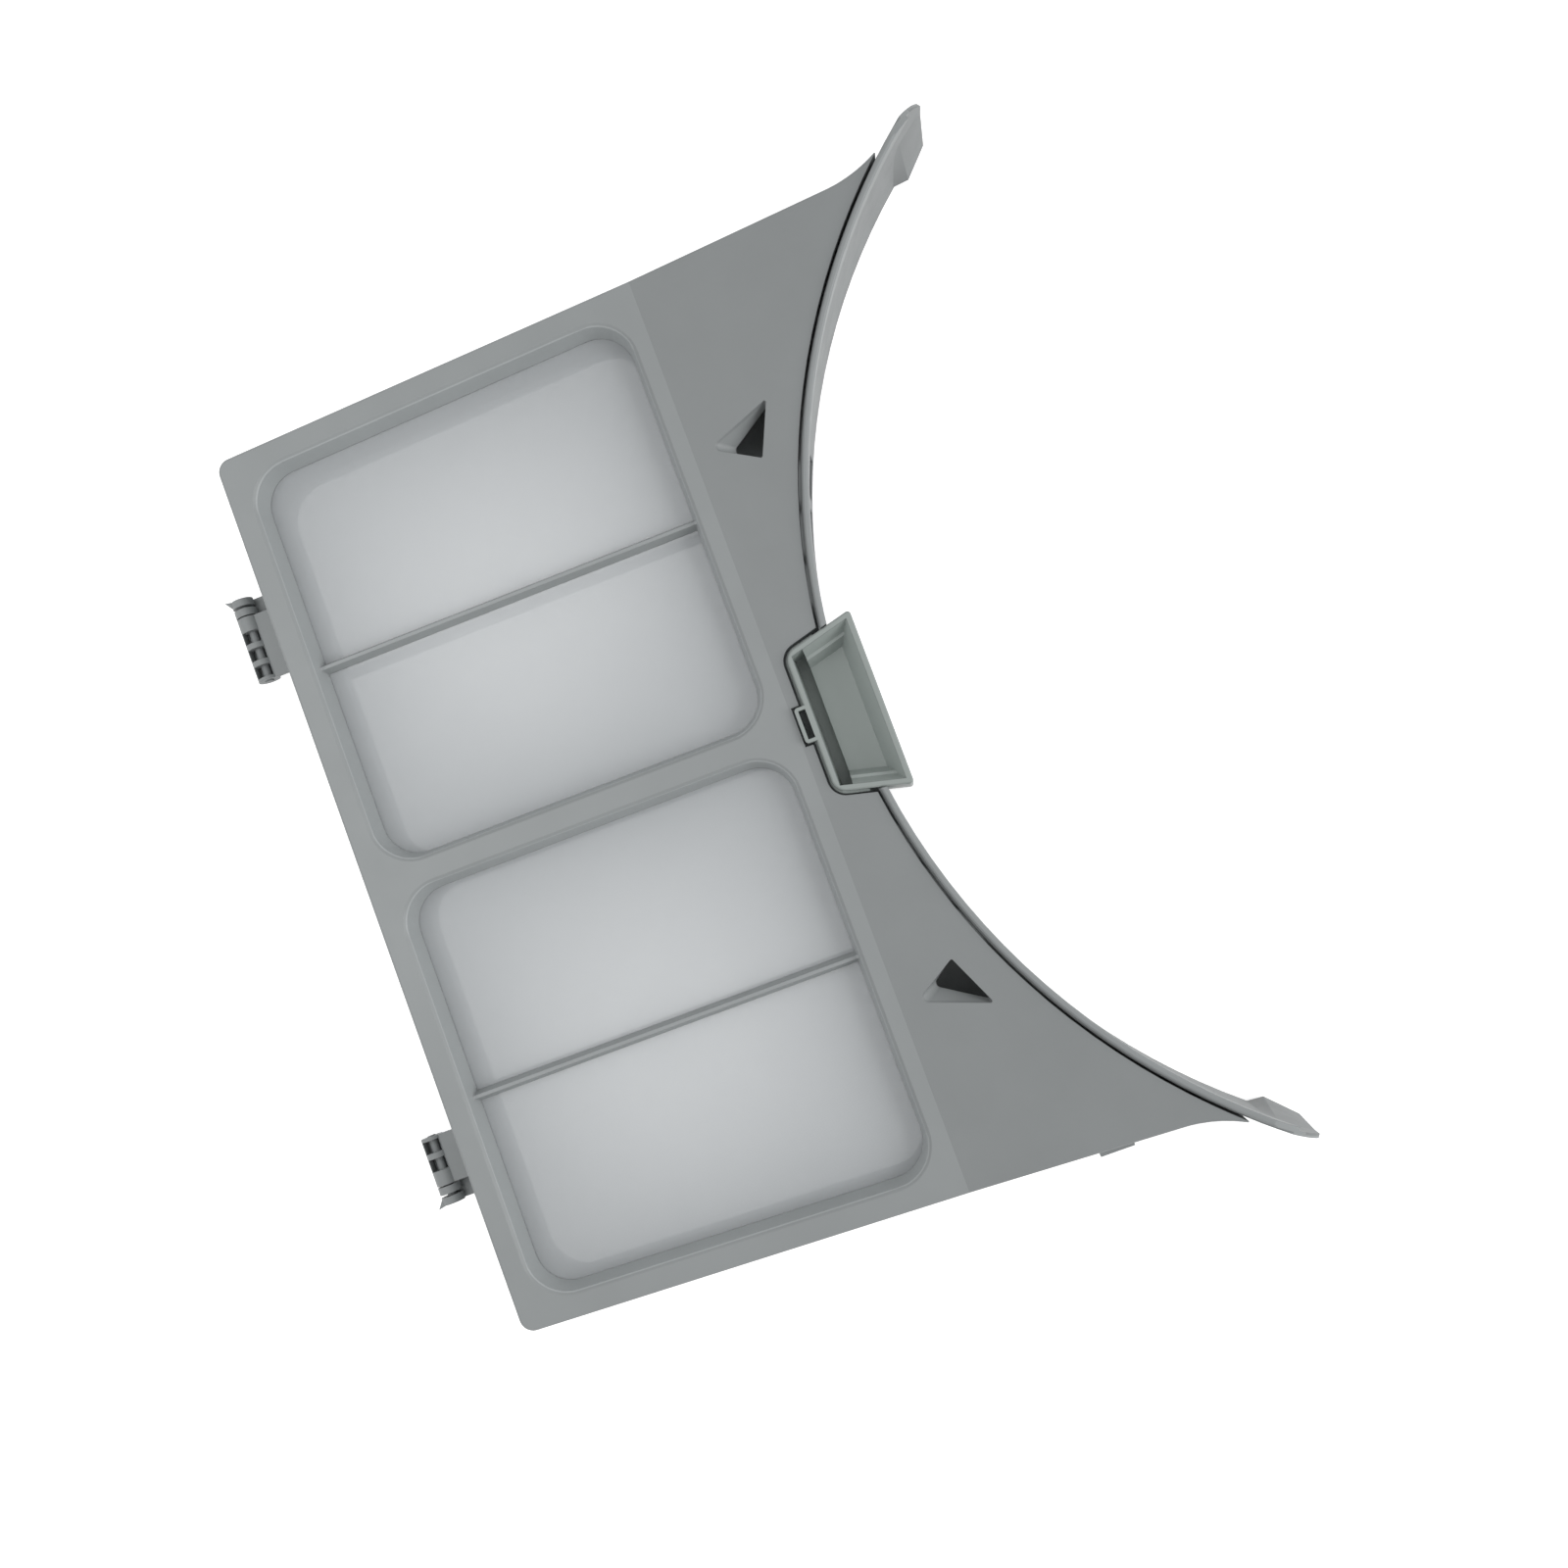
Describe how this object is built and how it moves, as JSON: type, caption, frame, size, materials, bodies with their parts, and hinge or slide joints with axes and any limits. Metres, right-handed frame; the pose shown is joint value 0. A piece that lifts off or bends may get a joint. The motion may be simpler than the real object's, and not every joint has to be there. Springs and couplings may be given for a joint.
{
  "type": "tumble dryer lint filter",
  "caption": "Hinged two-leaf tumble dryer lint filter with framed cloth windows, a concave horned edge and a finger-pull handle; the front leaf swings open for cleaning.",
  "frame": {"origin": "on the rear face's plane, under the middle of the closed filter's box", "axes": "+X along the hinge edge to the right, +Y from the hinge edge to the concave arc, +Z from the rear face to the front face"},
  "size_m": [0.3058, 0.2394, 0.0367],
  "materials": {
    "frame_plastic": "satin grey",
    "filter_cloth": "fine woven",
    "handle_plastic": "satin",
    "pin_plastic": "satin"
  },
  "bodies": {
    "rear_leaf": {"rear_frame": "frame_plastic", "rear_mesh_left": "filter_cloth", "rear_mesh_right": "filter_cloth", "pull_handle": "handle_plastic", "hinge_pin_left": "pin_plastic", "hinge_pin_right": "pin_plastic"},
    "front_leaf": {"front_frame": "frame_plastic", "front_mesh_left": "filter_cloth", "front_mesh_right": "filter_cloth"}
  },
  "joints": [
    {"name": "leaf_hinge", "type": "hinge", "parent": "rear_leaf", "child": "front_leaf", "pos_m": [0, -0.11506, 0.0155], "axis": [1, 0, 0], "range_deg": [0, 170]}
  ]
}
